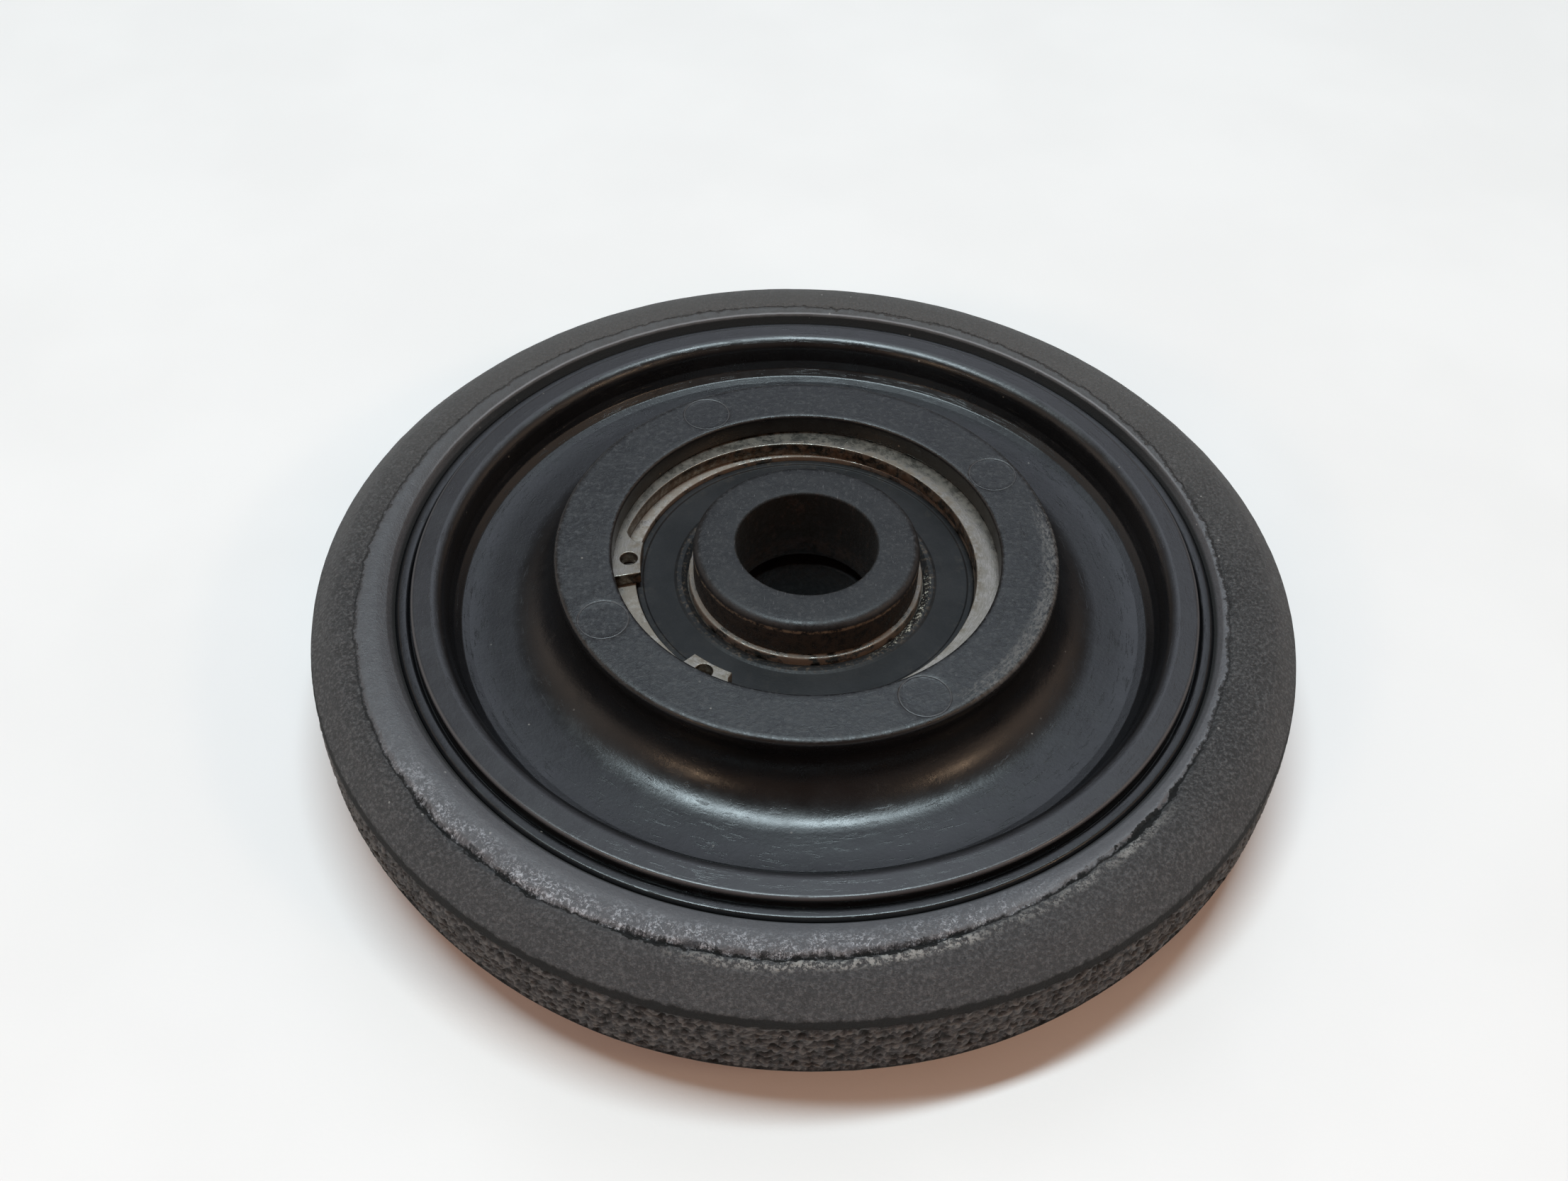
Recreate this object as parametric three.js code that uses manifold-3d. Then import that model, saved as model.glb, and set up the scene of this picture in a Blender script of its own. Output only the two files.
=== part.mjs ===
// Rubber-tyred idler wheel on a sealed deep-groove ball bearing, with two flanged half-bushings for its axle.
// Millimetres. +Z is the spin axis; z = 0 is the outer face of the lower bushing, on which the wheel lies flat.
// Most pieces are rings drawn as a half-section (radius, height above the mid-plane) and turned about Z.

import * as THREE from "three";
import { mergeVertices } from "three/addons/utils/BufferGeometryUtils.js";
import Module from "manifold-3d";

// ---- driving dimensions -------------------------------------------------------------------------------------

const TURN_STEPS = 48;          // facets round every coaxial ring, equal so that nested rings stay parallel

const WHEEL_DIA = 133.35;       // over the tread
const HUB_WIDTH = 25.4;         // over both hub faces
const BUSHING_WIDTH = 25.8;     // over both bushing flanges, so the hub runs clear of its neighbours
const TYRE_WIDTH = 18.7;        // over both side walls
const FIT_GAP = 0.05;           // between pieces that are pressed or seated together
const BOND_GAP = 0.3;           // between the rim and the tyre moulded on to it

const HUB = { outer: 33.5, edge: 0.8, side: 3.0, coveRadius: 6.7, lipBore: 23.5, chamfer: 0.3 };
const WEB = { half: 3.0, outerFillet: 2.0, wallFoot: 47.9, wallTop: 48.5, wallEdge: 1.3 };
const RIM = { half: 8.8, plateauOuter: 52.9, edge: 0.3, grooveFloor: 6.5, outer: 54.4 };
const RIM_RIB = { outer: 57.0, rootHalf: 2.6, tipHalf: 2.2 };
const PIN_MARK = { count: 4, firstAngle: 31, pitchRadius: 29.8, radius: 3.3, depth: 0.25, sides: 12 };

const TREAD = { edgeRadius: 66.3, edgeHalf: 5.6, crownHalf: 3.0, crownDrop: 0.1 };
const TYRE_SIDE = { lipEdge: 0.4, crestRadius: 58.0, crestRise: 0.25, bandRadius: 63.0, bandHalf: 8.6 };
const TYRE_CORNER = { radius: 65.2, half: 7.5 };

const BEARING = { bore: 25, outer: 52, width: 15, chamfer: 0.8 };
const BALLS = { count: 9, radius: 3.969, grooveRadius: 4.13, clearance: 0.08, steps: 10, rings: 7 };
const BALL_PITCH_RADIUS = (BEARING.bore + BEARING.outer) / 4;
const INNER_RING = { shoulder: 17.15, land: 15.9, landHalf: 5.6, edge: 0.25 };
const OUTER_RING = { shoulder: 21.4, recess: 23.1, recessHalf: 5.8 };

const CAGE = { inner: 17.7, outer: 20.8, gap: 0.1, thickness: 0.9, pocketIn: 4.45, pocketOut: 5.2 };
const CAGE_RIVET = { shank: 0.5, hole: 0.75, head: 0.95, headHeight: 0.4, sides: 8 };

const SEAL = { lip: 16.1, inner: 16.7, outer: 23.0, back: 5.95, face: 6.95 };

const SNAP = { outer: 27.4, grooveOuter: 27.5, thickness: 2.0, grooveWidth: 2.15 };
const SNAP_INNER = { radius: 24.06, offset: 1.16 };
const SNAP_LUG = { gapAngle: 211, halfGap: 20, width: 17, reach: 22.35, holeRadius: 1.15, holePitch: 23.9 };

const BUSHING = { bore: 19.05, sleeve: 24.9, flange: 30.5, flangeEdge: 1.0, chamfer: 0.3, halfGap: 1.0 };

// ---- values that follow from them ---------------------------------------------------------------------------

const MID_Z = BUSHING_WIDTH / 2;
const SEAT_RADIUS = BEARING.outer / 2 + FIT_GAP;
const SEAT_HALF = BEARING.width / 2 + FIT_GAP;
const RADIANS = Math.PI / 180;

// ---- materials ----------------------------------------------------------------------------------------------

const material = (color, roughness, metalness) => new THREE.MeshStandardMaterial({ color, roughness, metalness });

const MATERIALS = {
  rubber: material(0x2b2a29, 0.85, 0),
  plastic: material(0x1b1c1f, 0.42, 0),
  bushing: material(0x222326, 0.5, 0.35),
  steel: material(0xb4b1aa, 0.32, 1),
  springSteel: material(0xb9b4aa, 0.3, 1),
  cageSteel: material(0x9a9790, 0.4, 1),
  seal: material(0x17181a, 0.6, 0),
};

// ---- geometry helpers ---------------------------------------------------------------------------------------

const below = (section) => section.map(([radius, height]) => [radius, -height]);
const mirrored = (section) => below(section).reverse();

// Points from startAngle to endAngle (degrees) on a circle in the half-section or in plan.
function arc(centreX, centreY, radius, startAngle, endAngle, steps) {
  const points = [];
  for (let step = 0; step <= steps; step++) {
    const angle = (startAngle + ((endAngle - startAngle) * step) / steps) * RADIANS;
    points.push([centreX + radius * Math.cos(angle), centreY + radius * Math.sin(angle)]);
  }
  return points;
}

// Turns an anticlockwise half-section about Z. A section that touches the axis stays open there.
function turned(section, steps = TURN_STEPS) {
  const points = section.map(([radius, height]) => new THREE.Vector2(radius, height));
  if (section[0][0] > 0) points.push(points[0].clone());
  return new THREE.LatheGeometry(points, steps).rotateX(Math.PI / 2);
}

function toManifold(wasm, geometry) {
  const bare = geometry.clone();
  bare.deleteAttribute("normal");
  bare.deleteAttribute("uv");
  const merged = mergeVertices(bare, 1e-4);
  const vertProperties = new Float32Array(merged.attributes.position.array);
  const triVerts = new Uint32Array(merged.index.array);
  return new wasm.Manifold(new wasm.Mesh({ numProp: 3, vertProperties, triVerts }));
}

function fromManifold(solid) {
  const { vertProperties, triVerts, numProp } = solid.getMesh();
  const geometry = new THREE.BufferGeometry();
  const positions = new Float32Array((vertProperties.length / numProp) * 3);
  for (let vertex = 0; vertex * numProp < vertProperties.length; vertex++) {
    positions.set(vertProperties.subarray(vertex * numProp, vertex * numProp + 3), vertex * 3);
  }
  geometry.setAttribute("position", new THREE.BufferAttribute(positions, 3));
  geometry.setIndex(new THREE.BufferAttribute(new Uint32Array(triVerts), 1));
  geometry.computeVertexNormals();
  return geometry;
}

const upright = (radius, height, sides) => new THREE.CylinderGeometry(radius, radius, height, sides).rotateX(Math.PI / 2);

const onPitch = (geometry, pitchRadius, angle, height) =>
  geometry.translate(pitchRadius * Math.cos(angle * RADIANS), pitchRadius * Math.sin(angle * RADIANS), height);

// ---- the wheel body -----------------------------------------------------------------------------------------

// One face of the moulded wheel from the hub edge out to the rim's shoulder under the tyre.
function wheelFace() {
  const coveTop = HUB_WIDTH / 2 - HUB.side;
  const coveCentre = HUB.outer + HUB.coveRadius;
  const filletCentre = WEB.wallFoot - WEB.outerFillet;
  return [
    [HUB.outer - HUB.edge, HUB_WIDTH / 2],
    [HUB.outer, HUB_WIDTH / 2 - HUB.edge],
    ...arc(coveCentre, coveTop, HUB.coveRadius, 180, 270, 4),
    ...arc(filletCentre, WEB.half + WEB.outerFillet, WEB.outerFillet, 270, 360, 2),
    [WEB.wallTop, RIM.half - WEB.wallEdge],
    [WEB.wallTop + WEB.wallEdge, RIM.half],
    [RIM.plateauOuter - RIM.edge, RIM.half],
    [RIM.plateauOuter, RIM.half - RIM.edge],
    [RIM.plateauOuter, RIM.grooveFloor],
    [RIM.outer, RIM.grooveFloor],
    [RIM.outer, RIM_RIB.rootHalf],
    [RIM_RIB.outer, RIM_RIB.tipHalf],
  ];
}

// The bore of the hub: a shoulder below the bearing, the seat, and the groove for the snap ring above it.
function hubBore() {
  const grooveTop = SEAT_HALF + SNAP.grooveWidth;
  return [
    [SEAT_RADIUS + HUB.chamfer, HUB_WIDTH / 2],
    [SEAT_RADIUS, HUB_WIDTH / 2 - HUB.chamfer],
    [SEAT_RADIUS, grooveTop],
    [SNAP.grooveOuter, grooveTop],
    [SNAP.grooveOuter, SEAT_HALF],
    [SEAT_RADIUS, SEAT_HALF],
    [SEAT_RADIUS, -SEAT_HALF],
    [HUB.lipBore, -SEAT_HALF],
    [HUB.lipBore, -HUB_WIDTH / 2 + HUB.chamfer],
    [HUB.lipBore + HUB.chamfer, -HUB_WIDTH / 2],
  ];
}

// The moulded wheel, with the shallow round ejector-pin marks on both hub faces.
function wheelGeometry(wasm) {
  const face = wheelFace();
  let solid = toManifold(wasm, turned([...below(face), ...face.reverse(), ...hubBore()]));
  for (let index = 0; index < PIN_MARK.count; index++) {
    const angle = PIN_MARK.firstAngle + (360 / PIN_MARK.count) * index;
    for (const side of [-1, 1]) {
      const mark = upright(PIN_MARK.radius, 2 * PIN_MARK.depth, PIN_MARK.sides);
      onPitch(mark, PIN_MARK.pitchRadius, angle, (side * HUB_WIDTH) / 2);
      solid = solid.subtract(toManifold(wasm, mark));
    }
  }
  return fromManifold(solid);
}

// The tyre: crowned tread, sloping side bands, and a lip that stands beside the rim's groove.
function tyreGeometry() {
  const inner = RIM.outer + BOND_GAP;
  const half = TYRE_WIDTH / 2;
  const side = [
    [WHEEL_DIA / 2 - TREAD.crownDrop, TREAD.crownHalf],
    [TREAD.edgeRadius, TREAD.edgeHalf],
    [TYRE_CORNER.radius, TYRE_CORNER.half],
    [TYRE_SIDE.bandRadius, TYRE_SIDE.bandHalf],
    [TYRE_SIDE.crestRadius, half],
    [inner + TYRE_SIDE.lipEdge, half - TYRE_SIDE.crestRise],
    [inner, half - TYRE_SIDE.crestRise - TYRE_SIDE.lipEdge],
    [inner, RIM_RIB.rootHalf + BOND_GAP],
    [RIM_RIB.outer + BOND_GAP, RIM_RIB.tipHalf + BOND_GAP],
  ];
  return turned([...mirrored(side), [WHEEL_DIA / 2, 0], ...side]);
}

// ---- the bearing --------------------------------------------------------------------------------------------

// A raceway groove drawn just outside its true arc, so that no facet of it reaches the balls.
function raceway(bottomRadius, side, shoulder) {
  const steps = 3;
  const centre = bottomRadius + side * BALLS.grooveRadius;
  const spread = Math.acos(Math.abs(centre - shoulder) / BALLS.grooveRadius) / RADIANS;
  const outside = BALLS.grooveRadius / Math.cos((spread / steps) * RADIANS);
  const facing = side > 0 ? 180 : 0;
  return arc(centre, 0, outside, facing - spread, facing + spread, steps);
}

function innerRingGeometry() {
  const half = BEARING.width / 2;
  const bore = BEARING.bore / 2;
  const lower = [
    [bore, -half + BEARING.chamfer],
    [bore + BEARING.chamfer, -half],
    [INNER_RING.land - INNER_RING.edge, -half],
    [INNER_RING.land, -half + INNER_RING.edge],
    [INNER_RING.land, -INNER_RING.landHalf],
    [INNER_RING.shoulder, -INNER_RING.landHalf],
  ];
  const bottomRadius = BALL_PITCH_RADIUS - BALLS.radius - BALLS.clearance;
  const track = raceway(bottomRadius, 1, INNER_RING.shoulder).reverse();
  return turned([...lower, ...track, ...mirrored(lower)]);
}

function outerRingGeometry() {
  const half = BEARING.width / 2;
  const outer = BEARING.outer / 2;
  const lower = [
    [OUTER_RING.shoulder, -OUTER_RING.recessHalf],
    [OUTER_RING.recess, -OUTER_RING.recessHalf],
    [OUTER_RING.recess, -half],
    [outer - BEARING.chamfer, -half],
    [outer, -half + BEARING.chamfer],
  ];
  const bottomRadius = BALL_PITCH_RADIUS + BALLS.radius + BALLS.clearance + INNER_RING.edge / 10;
  const track = raceway(bottomRadius, -1, OUTER_RING.shoulder).reverse();
  return turned([...lower, ...mirrored(lower), ...track]);
}

function sealGeometry() {
  return turned([
    [SEAL.lip, SEAL.back + 0.15],
    [SEAL.inner, SEAL.back],
    [SEAL.outer, SEAL.back],
    [SEAL.outer, SEAL.face],
    [SEAL.inner, SEAL.face],
    [SEAL.lip, SEAL.back + 0.45],
  ]);
}

// The upper half of the ribbon cage: a flat ring with a dome over each ball and a rivet hole between domes.
function cageGeometry(wasm) {
  const band = (low, high) => turned([[CAGE.inner, low], [CAGE.outer, low], [CAGE.outer, high], [CAGE.inner, high]]);
  const sphere = (radius) => new THREE.SphereGeometry(radius, 10, 6).rotateX(Math.PI / 2);
  let ribbon = toManifold(wasm, band(CAGE.gap, CAGE.gap + CAGE.thickness));
  const domeBand = toManifold(wasm, band(CAGE.gap, CAGE.pocketOut + 1));
  for (let index = 0; index < BALLS.count; index++) {
    const angle = (360 / BALLS.count) * index;
    const dome = toManifold(wasm, onPitch(sphere(CAGE.pocketOut), BALL_PITCH_RADIUS, angle, 0));
    ribbon = ribbon.add(dome.intersect(domeBand));
  }
  for (let index = 0; index < BALLS.count; index++) {
    const angle = (360 / BALLS.count) * index;
    const rivetAngle = angle + 180 / BALLS.count;
    const hole = upright(CAGE_RIVET.hole, 4 * CAGE.thickness, CAGE_RIVET.sides);
    ribbon = ribbon.subtract(toManifold(wasm, onPitch(sphere(CAGE.pocketIn), BALL_PITCH_RADIUS, angle, 0)));
    ribbon = ribbon.subtract(toManifold(wasm, onPitch(hole, BALL_PITCH_RADIUS, rivetAngle, CAGE.gap)));
  }
  return fromManifold(ribbon);
}

function rivetGeometry() {
  const seat = CAGE.thickness + 2 * CAGE.gap;
  const top = seat + CAGE_RIVET.headHeight;
  const half = [
    [CAGE_RIVET.shank, seat],
    [CAGE_RIVET.head, seat],
    [CAGE_RIVET.head, top],
    [0, top],
  ];
  return turned([...mirrored(half), ...half], CAGE_RIVET.sides);
}

const ballGeometry = () => new THREE.SphereGeometry(BALLS.radius, BALLS.steps, BALLS.rings).rotateX(Math.PI / 2);

// ---- the snap ring and the bushings -------------------------------------------------------------------------

// An internal snap ring: a slim eccentric band that thins towards two lugs, each with a hole for the pliers.
function snapRingGeometry() {
  const { gapAngle, halfGap, width, reach, holeRadius, holePitch } = SNAP_LUG;
  const firstCut = gapAngle + halfGap;
  const lastCut = gapAngle + 360 - halfGap;
  const offsetX = SNAP_INNER.offset * Math.cos(gapAngle * RADIANS);
  const offsetY = SNAP_INNER.offset * Math.sin(gapAngle * RADIANS);
  const bandEnd = width + 1.5;
  const outline = [
    ...arc(0, 0, SNAP.outer, firstCut, lastCut, 40),
    ...arc(0, 0, reach, lastCut, lastCut - width, 3),
    ...arc(offsetX, offsetY, SNAP_INNER.radius, lastCut - bandEnd, firstCut + bandEnd, 34),
    ...arc(0, 0, reach, firstCut + width, firstCut, 3),
  ];
  const shape = new THREE.Shape(outline.map(([x, y]) => new THREE.Vector2(x, y)));
  for (const angle of [firstCut + width / 2, lastCut - width / 2]) {
    const centreX = holePitch * Math.cos(angle * RADIANS);
    const centreY = holePitch * Math.sin(angle * RADIANS);
    const hole = arc(centreX, centreY, holeRadius, 360, 30, 11);
    shape.holes.push(new THREE.Path(hole.map(([x, y]) => new THREE.Vector2(x, y))));
  }
  return new THREE.ExtrudeGeometry(shape, { depth: SNAP.thickness, bevelEnabled: false });
}

// The upper half-bushing: a sleeve inside the bearing's inner ring and a thick flange outside it.
function bushingGeometry() {
  const bore = BUSHING.bore / 2;
  const sleeve = BUSHING.sleeve / 2;
  const flange = BUSHING.flange / 2;
  const face = BUSHING_WIDTH / 2;
  return turned([
    [bore, BUSHING.halfGap],
    [sleeve - BUSHING.chamfer, BUSHING.halfGap],
    [sleeve, BUSHING.halfGap + BUSHING.chamfer],
    [sleeve, SEAT_HALF],
    [flange, SEAT_HALF],
    ...arc(flange - BUSHING.flangeEdge, face - BUSHING.flangeEdge, BUSHING.flangeEdge, 0, 90, 2),
    [bore + BUSHING.chamfer, face],
    [bore, face - BUSHING.chamfer],
  ]);
}

// ---- assembly -----------------------------------------------------------------------------------------------

const wasm = await Module();
wasm.setup();

const idlerWheel = new THREE.Group();

// Adds one named piece. Everything is drawn about the mid-plane and lifted by half the overall width.
function place(name, geometry, look, flipped = false) {
  const mesh = new THREE.Mesh(geometry, look.clone());
  mesh.name = name;
  mesh.position.z = MID_Z;
  if (flipped) mesh.rotation.x = Math.PI;
  idlerWheel.add(mesh);
  return mesh;
}

place("tyre", tyreGeometry(), MATERIALS.rubber);
place("wheel_body", wheelGeometry(wasm), MATERIALS.plastic);

place("bearing_outer_ring", outerRingGeometry(), MATERIALS.steel);
place("bearing_inner_ring", innerRingGeometry(), MATERIALS.steel);
place("upper_seal", sealGeometry(), MATERIALS.seal);
place("lower_seal", sealGeometry(), MATERIALS.seal, true);
place("upper_cage_half", cageGeometry(wasm), MATERIALS.cageSteel);
place("lower_cage_half", cageGeometry(wasm), MATERIALS.cageSteel, true);

for (let index = 0; index < BALLS.count; index++) {
  const ballAngle = (360 / BALLS.count) * index;
  const rivetAngle = ballAngle + 180 / BALLS.count;
  place(`ball_${index + 1}`, onPitch(ballGeometry(), BALL_PITCH_RADIUS, ballAngle, 0), MATERIALS.steel);
  place(`cage_rivet_${index + 1}`, onPitch(rivetGeometry(), BALL_PITCH_RADIUS, rivetAngle, 0), MATERIALS.cageSteel);
}

const snapRing = place("snap_ring", snapRingGeometry(), MATERIALS.springSteel);
snapRing.position.z = MID_Z + SEAT_HALF + FIT_GAP;

place("upper_bushing", bushingGeometry(), MATERIALS.bushing);
place("lower_bushing", bushingGeometry(), MATERIALS.bushing, true);

export default idlerWheel;
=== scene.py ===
"""Looks of a used rubber-tyred idler wheel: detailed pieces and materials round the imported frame."""

import math

import bpy
import numpy as np
from mathutils import Matrix, Vector


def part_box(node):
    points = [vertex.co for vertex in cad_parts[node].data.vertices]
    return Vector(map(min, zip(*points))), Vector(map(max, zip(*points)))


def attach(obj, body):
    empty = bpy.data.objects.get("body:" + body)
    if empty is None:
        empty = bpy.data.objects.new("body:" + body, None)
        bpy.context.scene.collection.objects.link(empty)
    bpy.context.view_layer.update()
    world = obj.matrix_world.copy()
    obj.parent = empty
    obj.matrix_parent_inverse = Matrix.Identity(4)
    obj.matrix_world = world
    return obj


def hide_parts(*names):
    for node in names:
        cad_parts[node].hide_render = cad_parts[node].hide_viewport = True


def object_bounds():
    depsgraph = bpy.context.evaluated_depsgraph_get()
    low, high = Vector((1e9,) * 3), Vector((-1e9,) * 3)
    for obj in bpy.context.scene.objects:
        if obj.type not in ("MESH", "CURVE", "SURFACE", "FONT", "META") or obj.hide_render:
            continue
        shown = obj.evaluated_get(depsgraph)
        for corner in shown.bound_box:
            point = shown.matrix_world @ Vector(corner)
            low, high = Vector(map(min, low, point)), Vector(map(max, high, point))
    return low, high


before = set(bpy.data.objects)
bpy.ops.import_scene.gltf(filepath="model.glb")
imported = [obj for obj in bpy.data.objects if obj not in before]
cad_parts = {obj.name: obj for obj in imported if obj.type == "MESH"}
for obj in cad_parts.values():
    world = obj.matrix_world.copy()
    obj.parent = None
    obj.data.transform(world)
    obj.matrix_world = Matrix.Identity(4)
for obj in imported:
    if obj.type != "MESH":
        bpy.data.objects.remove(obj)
cad_low, cad_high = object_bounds()

MM = 0.001
MID_Z = (cad_low.z + cad_high.z) / 2 / MM  # height of the wheel's mid-plane, mm
FULL_TURN = 2 * math.pi

# ---- sizes, in mm from the axis and from the mid-plane -------------------------------------------

TREAD_RADIUS = 66.64
PEBBLE_TOP = 3.8  # the pebbled part of the tread ends here
CORNER_TOP = 5.5  # and the smooth dark corner band here
UNWORN_REACH = 1.9  # how much further down the tread runs where it is least worn
CRACK_EVERY_30_DEG = (56.7, 57.0, 57.4, 57.4, 57.6, 58.1, 59.2, 60.9, 61.2, 60.5, 58.8, 57.3)  # from +X
GROOVE_OUTER = 54.95  # the rubber begins here
FACE_TOP = 12.7  # the hub's faces
BEARING_SEAT = 26.05
BORE_RADIUS = 9.525
TRACK_RADIUS = 4.16  # of the raceways, in section
SNAP_THICKNESS = 2.0
PIN_MARK_PITCH, PIN_MARK_RADIUS = 29.8, 3.3
PIN_MARK_ANGLES = [math.radians(31 + 90 * k) for k in range(4)]
PIN_MARKS = [(PIN_MARK_PITCH * math.cos(a), PIN_MARK_PITCH * math.sin(a)) for a in PIN_MARK_ANGLES]

TYRE_STEPS, WHEEL_STEPS, BEARING_STEPS = 1140, 420, 256  # mesh steps round the axis
BEARING_SPACING = 1.2  # mm between rings of the bearing's and bushings' meshes
NOISE_ROWS = 1000  # rows across a table of random numbers, more than any surface needs


# ---- small numeric helpers -----------------------------------------------------------------------


def smooth(low, high, value):
    """0 below low, 1 above high, and a smooth step between them."""
    t = np.clip((value - low) / (high - low), 0, 1)
    return t * t * (3 - 2 * t)


def ring_grid(theta, across, around, pitch):
    """Position on the unrolled ring, in cells, and the cell that it falls in."""
    u = (theta / FULL_TURN % 1.0) * around
    v = across / pitch + NOISE_ROWS / 2
    return u, v, np.floor(u).astype(int), np.floor(v).astype(int)


def ring_noise(theta, across, around, pitch, seed):
    """Smooth noise in -1..1 that closes round the wheel: so many cells round, one each pitch mm across."""
    u, v, iu, iv = ring_grid(theta, across, around, pitch)
    fu = smooth(0, 1, u - iu)
    fv = smooth(0, 1, v - iv)
    table = np.random.RandomState(seed).uniform(-1, 1, (around, NOISE_ROWS))
    here, beside = iu % around, (iu + 1) % around
    row, above = iv % NOISE_ROWS, (iv + 1) % NOISE_ROWS
    near = table[here, row] * (1 - fv) + table[here, above] * fv
    far = table[beside, row] * (1 - fv) + table[beside, above] * fv
    return near * (1 - fu) + far * fu


def ring_cells(theta, across, around, pitch, seed):
    """Distance to the nearest and second nearest of scattered points on the unrolled ring, in cells."""
    u, v, iu, iv = ring_grid(theta, across, around, pitch)
    points = np.random.RandomState(seed).uniform(0.1, 0.9, (around, NOISE_ROWS, 2))
    first = np.full(u.shape, 9.0)
    second = np.full(u.shape, 9.0)
    for du in (-1, 0, 1):
        for dv in (-1, 0, 1):
            p = points[(iu + du) % around, (iv + dv) % NOISE_ROWS]
            d = np.hypot(iu + du + p[..., 0] - u, iv + dv + p[..., 1] - v)
            second = np.minimum(second, np.maximum(first, d))
            first = np.minimum(first, d)
    return first, second


def crack_radius(theta):
    """Radius of the line where the worn shoulder of the tyre meets its side band."""
    knots = np.array(CRACK_EVERY_30_DEG)
    at = (theta / FULL_TURN % 1.0) * len(knots)
    i = np.floor(at).astype(int)
    t = at - i
    a, b, c, d = (knots[(i + k) % len(knots)] for k in (-1, 0, 1, 2))
    curve = b + 0.5 * t * (c - a + t * (2 * a - 5 * b + 4 * c - d + t * (3 * (b - c) + d - a)))
    ragged = 0.14 * ring_noise(theta, 0 * theta, 90, 1, 3) + 0.1 * ring_noise(theta, 0 * theta, 430, 1, 4)
    return curve + ragged


def near_angle(theta, centre_deg, half_width_deg, soft_deg):
    """1 within half_width of an angle round the wheel, falling to 0 over soft degrees."""
    away = np.abs((np.degrees(theta) - centre_deg + 180) % 360 - 180)
    return 1 - smooth(half_width_deg, half_width_deg + soft_deg, away)


# ---- mesh building -------------------------------------------------------------------------------


def rounded(corners, steps):
    """Closed section from corners (radius, height, fillet): each fillet becomes an arc."""
    points = []
    count = len(corners)
    for i, (r, z, fillet) in enumerate(corners):
        here = np.array((r, z), float)
        if fillet <= 0:
            points.append(tuple(here))
            continue
        back = np.array(corners[i - 1][:2], float) - here
        ahead = np.array(corners[(i + 1) % count][:2], float) - here
        back_length, ahead_length = np.linalg.norm(back), np.linalg.norm(ahead)
        back, ahead = back / back_length, ahead / ahead_length
        half = math.acos(float(np.clip(back @ ahead, -1, 1))) / 2
        reach = min(fillet / math.tan(half), 0.49 * back_length, 0.49 * ahead_length)
        radius = reach * math.tan(half)
        bisector = (back + ahead) / np.linalg.norm(back + ahead)
        centre = here + bisector * radius / math.sin(half)
        start, end = here + back * reach - centre, here + ahead * reach - centre
        a0 = math.atan2(start[1], start[0])
        turn = (math.atan2(end[1], end[0]) - a0 + math.pi) % FULL_TURN - math.pi
        for k in range(steps + 1):
            a = a0 + turn * k / steps
            points.append((centre[0] + radius * math.cos(a), centre[1] + radius * math.sin(a)))
    return points


def filled(points, spacing):
    """Adds points so that no step is longer than spacing(radius, height), and holds each straight's ends."""
    dense = []
    hold = 0.15  # mm from each end of a straight
    count = len(points)
    for i in range(count):
        a, b = np.array(points[i]), np.array(points[(i + 1) % count])
        length = float(np.linalg.norm(b - a))
        if length < 1e-6:
            continue
        mid = (a + b) / 2
        parts = max(1, math.ceil(length / spacing(mid[0], mid[1])))
        dense.append(a)
        if parts == 1 and length > 1.0:
            dense += [a + (b - a) * hold / length, b - (b - a) * hold / length]
        dense += [a + (b - a) * k / parts for k in range(1, parts)]
    return np.array(dense)


def finish_mesh(name, verts, faces, attributes=None):
    mesh = bpy.data.meshes.new(name)
    mesh.from_pydata(verts, [], faces)
    for key, values in (attributes or {}).items():
        layer = mesh.attributes.new(key, "FLOAT", "POINT")
        layer.data.foreach_set("value", np.asarray(values, np.float32).ravel())
    mesh.polygons.foreach_set("use_smooth", [True] * len(mesh.polygons))
    mesh.update()
    obj = bpy.data.objects.new(name, mesh)
    bpy.context.scene.collection.objects.link(obj)
    return obj


def revolve(name, section, steps, shape=None):
    """Turns a closed anticlockwise section about Z. shape(theta, r, z) may move it and give attributes."""
    section = np.asarray(section, float)
    count = len(section)
    theta = np.repeat((np.arange(steps) * FULL_TURN / steps)[:, None], count, axis=1)
    r = np.repeat(section[None, :, 0], steps, axis=0)
    z = np.repeat(section[None, :, 1], steps, axis=0)
    attributes = {}
    if shape:
        r, z, attributes = shape(theta, r, z)
    verts = np.stack([r * np.cos(theta), r * np.sin(theta), z + MID_Z], axis=-1).reshape(-1, 3) * MM
    index = np.arange(steps * count).reshape(steps, count)
    across = np.roll(index, -1, axis=0)
    faces = np.stack([index, across, np.roll(across, -1, axis=1), np.roll(index, -1, axis=1)], axis=-1)
    return finish_mesh(name, verts, faces.reshape(-1, 4).tolist(), attributes)


def flipped(corners):
    """The same corners below the mid-plane, in the order that keeps a section anticlockwise."""
    return [(r, -z, f) for r, z, f in reversed(corners)]


def settle(obj, material, body, slot, *nodes):
    """Gives a piece its material and body, and hides the CAD nodes that it stands for. The slot is not used.
    """
    obj.data.materials.clear()
    obj.data.materials.append(material)
    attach(obj, body)
    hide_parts(*nodes)


# ---- material building ---------------------------------------------------------------------------


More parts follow.
